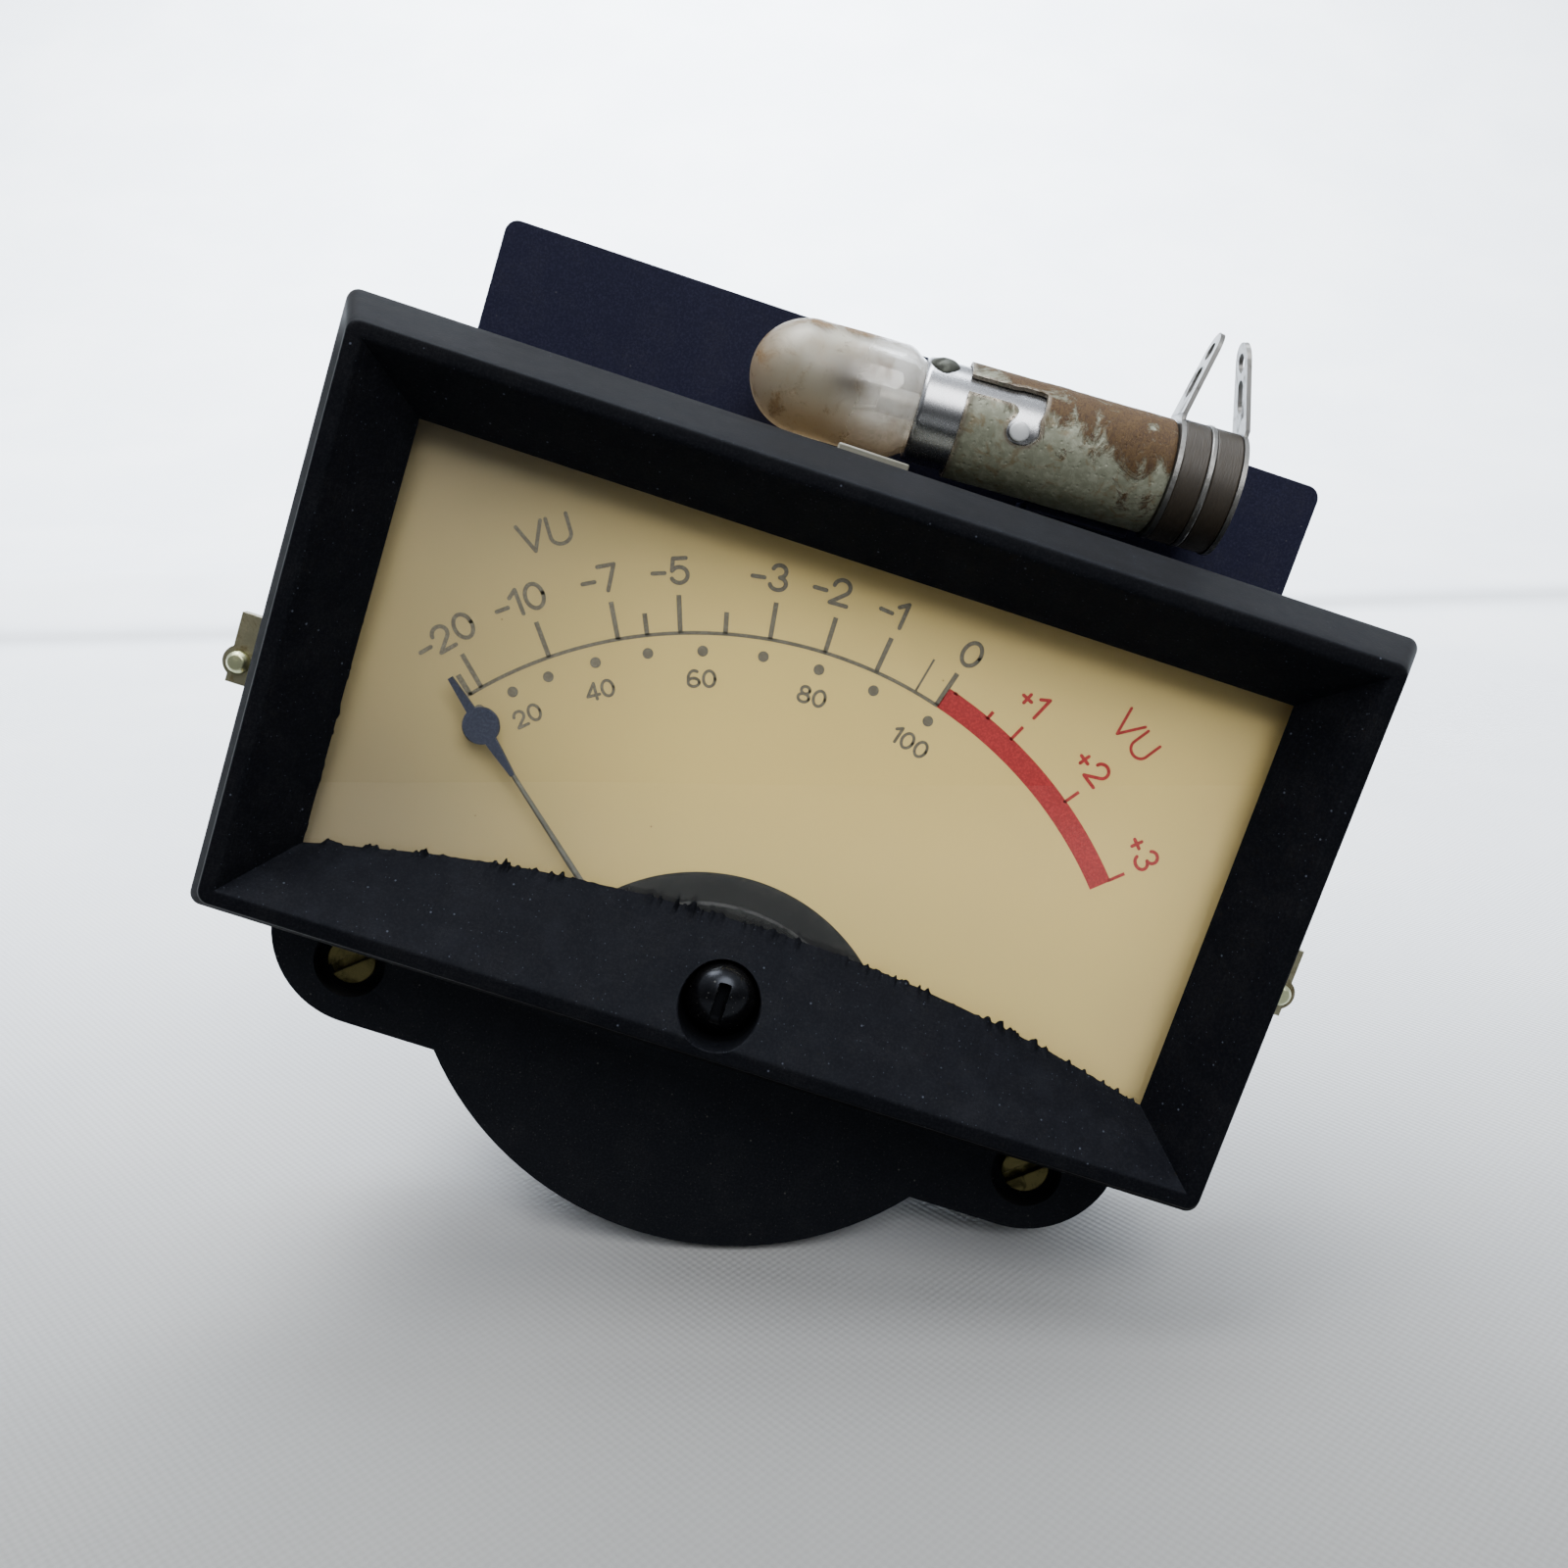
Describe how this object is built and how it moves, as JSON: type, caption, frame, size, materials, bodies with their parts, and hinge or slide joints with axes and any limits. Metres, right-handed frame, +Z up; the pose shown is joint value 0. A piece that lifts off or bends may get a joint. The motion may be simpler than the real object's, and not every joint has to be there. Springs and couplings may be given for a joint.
{
  "type": "panel meter",
  "caption": "Rectangular panel VU meter with arched sill, moving-coil pointer over a printed scale, screwdriver zero adjuster, round rear case and a bayonet lamp above the case.",
  "frame": {"origin": "centre of the dial opening, in the plane of the flange face that meets the back of a panel", "axes": "+Z up along the upright meter, -Y out of the front towards the viewer, +X to the viewer's right"},
  "size_m": [0.1014, 0.059, 0.0911],
  "materials": {
    "black_moulding": "satin black moulding with dust",
    "clear_pane": "clear",
    "case_moulding": "worn dark moulding",
    "dial_cream": "aged cream paint with printed scale",
    "cap_black": "black enamel",
    "milky_plastic": "translucent",
    "gloss_black": "gloss black",
    "steel": "plated",
    "brass": "turned",
    "aged_brass": "tarnished",
    "pointer_aluminium": "thin sheet",
    "tip_dark": "dark blue lacquer",
    "copper": "enamelled wire",
    "spring_bronze": "thin strip",
    "magnet_grey": "ground",
    "soft_iron": "plated",
    "bridge_alloy": "satin",
    "rear_moulding": "black moulding",
    "navy_paint": "dark navy paint, scuffed",
    "tinned_brass": "tinned",
    "rectifier_brown": "lacquered discs",
    "wire_insulation": "insulation",
    "lamp_glass": "frosted and browned",
    "filament_wire": "drawn wire",
    "nickel_plate": "bright plate",
    "corroded_steel": "corroded plate",
    "fibre_brown": "oiled fibre",
    "rivet_alloy": "pressed",
    "clamp_steel": "passivated"
  },
  "bodies": {
    "meter": {"bezel": "black_moulding", "window": "clear_pane", "front_case": "case_moulding", "dial": "dial_cream", "movement_cap": "cap_black", "light_window": "milky_plastic", "zero_washer": "steel", "hairspring_rear": "spring_bronze", "core_magnet": "magnet_grey", "core_supports": "brass", "yoke_ring": "soft_iron", "front_bridge": "bridge_alloy", "rear_bridge": "bridge_alloy", "bridge_screws": "steel", "jewel_screws": "brass", "movement_carrier": "bridge_alloy", "carrier_screws": "steel", "rear_case": "rear_moulding", "case_screws": "steel", "back_plate": "navy_paint", "pillars": "brass", "ear_screws": "aged_brass", "ear_nuts": "aged_brass", "terminal_studs": "brass", "terminal_washers": "steel", "terminal_nuts": "brass", "solder_tags": "tinned_brass", "rectifier": "rectifier_brown", "lead_wires": "wire_insulation", "socket_shell": "corroded_steel", "shell_lug": "tinned_brass", "contact_lug": "tinned_brass", "fibre_washers": "fibre_brown", "socket_ring": "steel", "socket_bush": "fibre_brown", "contact_spring": "steel", "lamp_bracket": "corroded_steel", "bracket_rivets": "rivet_alloy", "clamp_brackets": "clamp_steel", "clamp_rivets": "rivet_alloy", "clamp_screws": "aged_brass"},
    "moving_coil": {"pointer": "pointer_aluminium", "pointer_tip": "tip_dark", "pointer_hub": "pointer_aluminium", "balance_weights": "brass", "coil_former": "pointer_aluminium", "coil_winding": "copper", "pivot_staffs": "steel"},
    "zero_screw": {"zero_screw": "gloss_black"},
    "zero_arm": {"zero_arm": "brass", "hairspring_front": "spring_bronze"},
    "lamp": {"lamp_bulb": "lamp_glass", "lamp_filament": "filament_wire", "lamp_base": "nickel_plate", "lamp_insulator": "gloss_black", "lamp_contact": "tinned_brass"},
    "contact_plunger": {"contact_plunger": "brass"}
  },
  "joints": [
    {"name": "pointer_swing", "type": "hinge", "parent": "meter", "child": "moving_coil", "pos_m": [0, 0.017, -0.0264], "axis": [0, 1, 0], "range_deg": [-2, 100], "stiffness_Nm_per_rad": 0.0002},
    {"name": "zero_adjust", "type": "hinge", "parent": "meter", "child": "zero_screw", "pos_m": [0, -0.008, -0.0193], "axis": [0, 1, 0], "range_deg": [-35, 35]},
    {"name": "zero_arm_turn", "type": "hinge", "parent": "meter", "child": "zero_arm", "pos_m": [0, 0.0038, -0.0264], "axis": [0, 1, 0], "range_deg": [-6, 6]},
    {"name": "lamp_push", "type": "slide", "parent": "meter", "child": "lamp", "axis": [0.999, 0, 0.0436], "range_m": [0, 0.0006], "stiffness_N_per_m": 800, "springref_m": -0.004},
    {"name": "plunger_slide", "type": "slide", "parent": "meter", "child": "contact_plunger", "axis": [0.999, 0, 0.0436], "range_m": [0, 0.0006], "deforming": ["contact_spring"]}
  ],
  "couplings": [
    {"joint": "zero_arm_turn", "follows": "zero_adjust", "ratio": 0.1548},
    {"joint": "plunger_slide", "follows": "lamp_push", "ratio": 1}
  ]
}
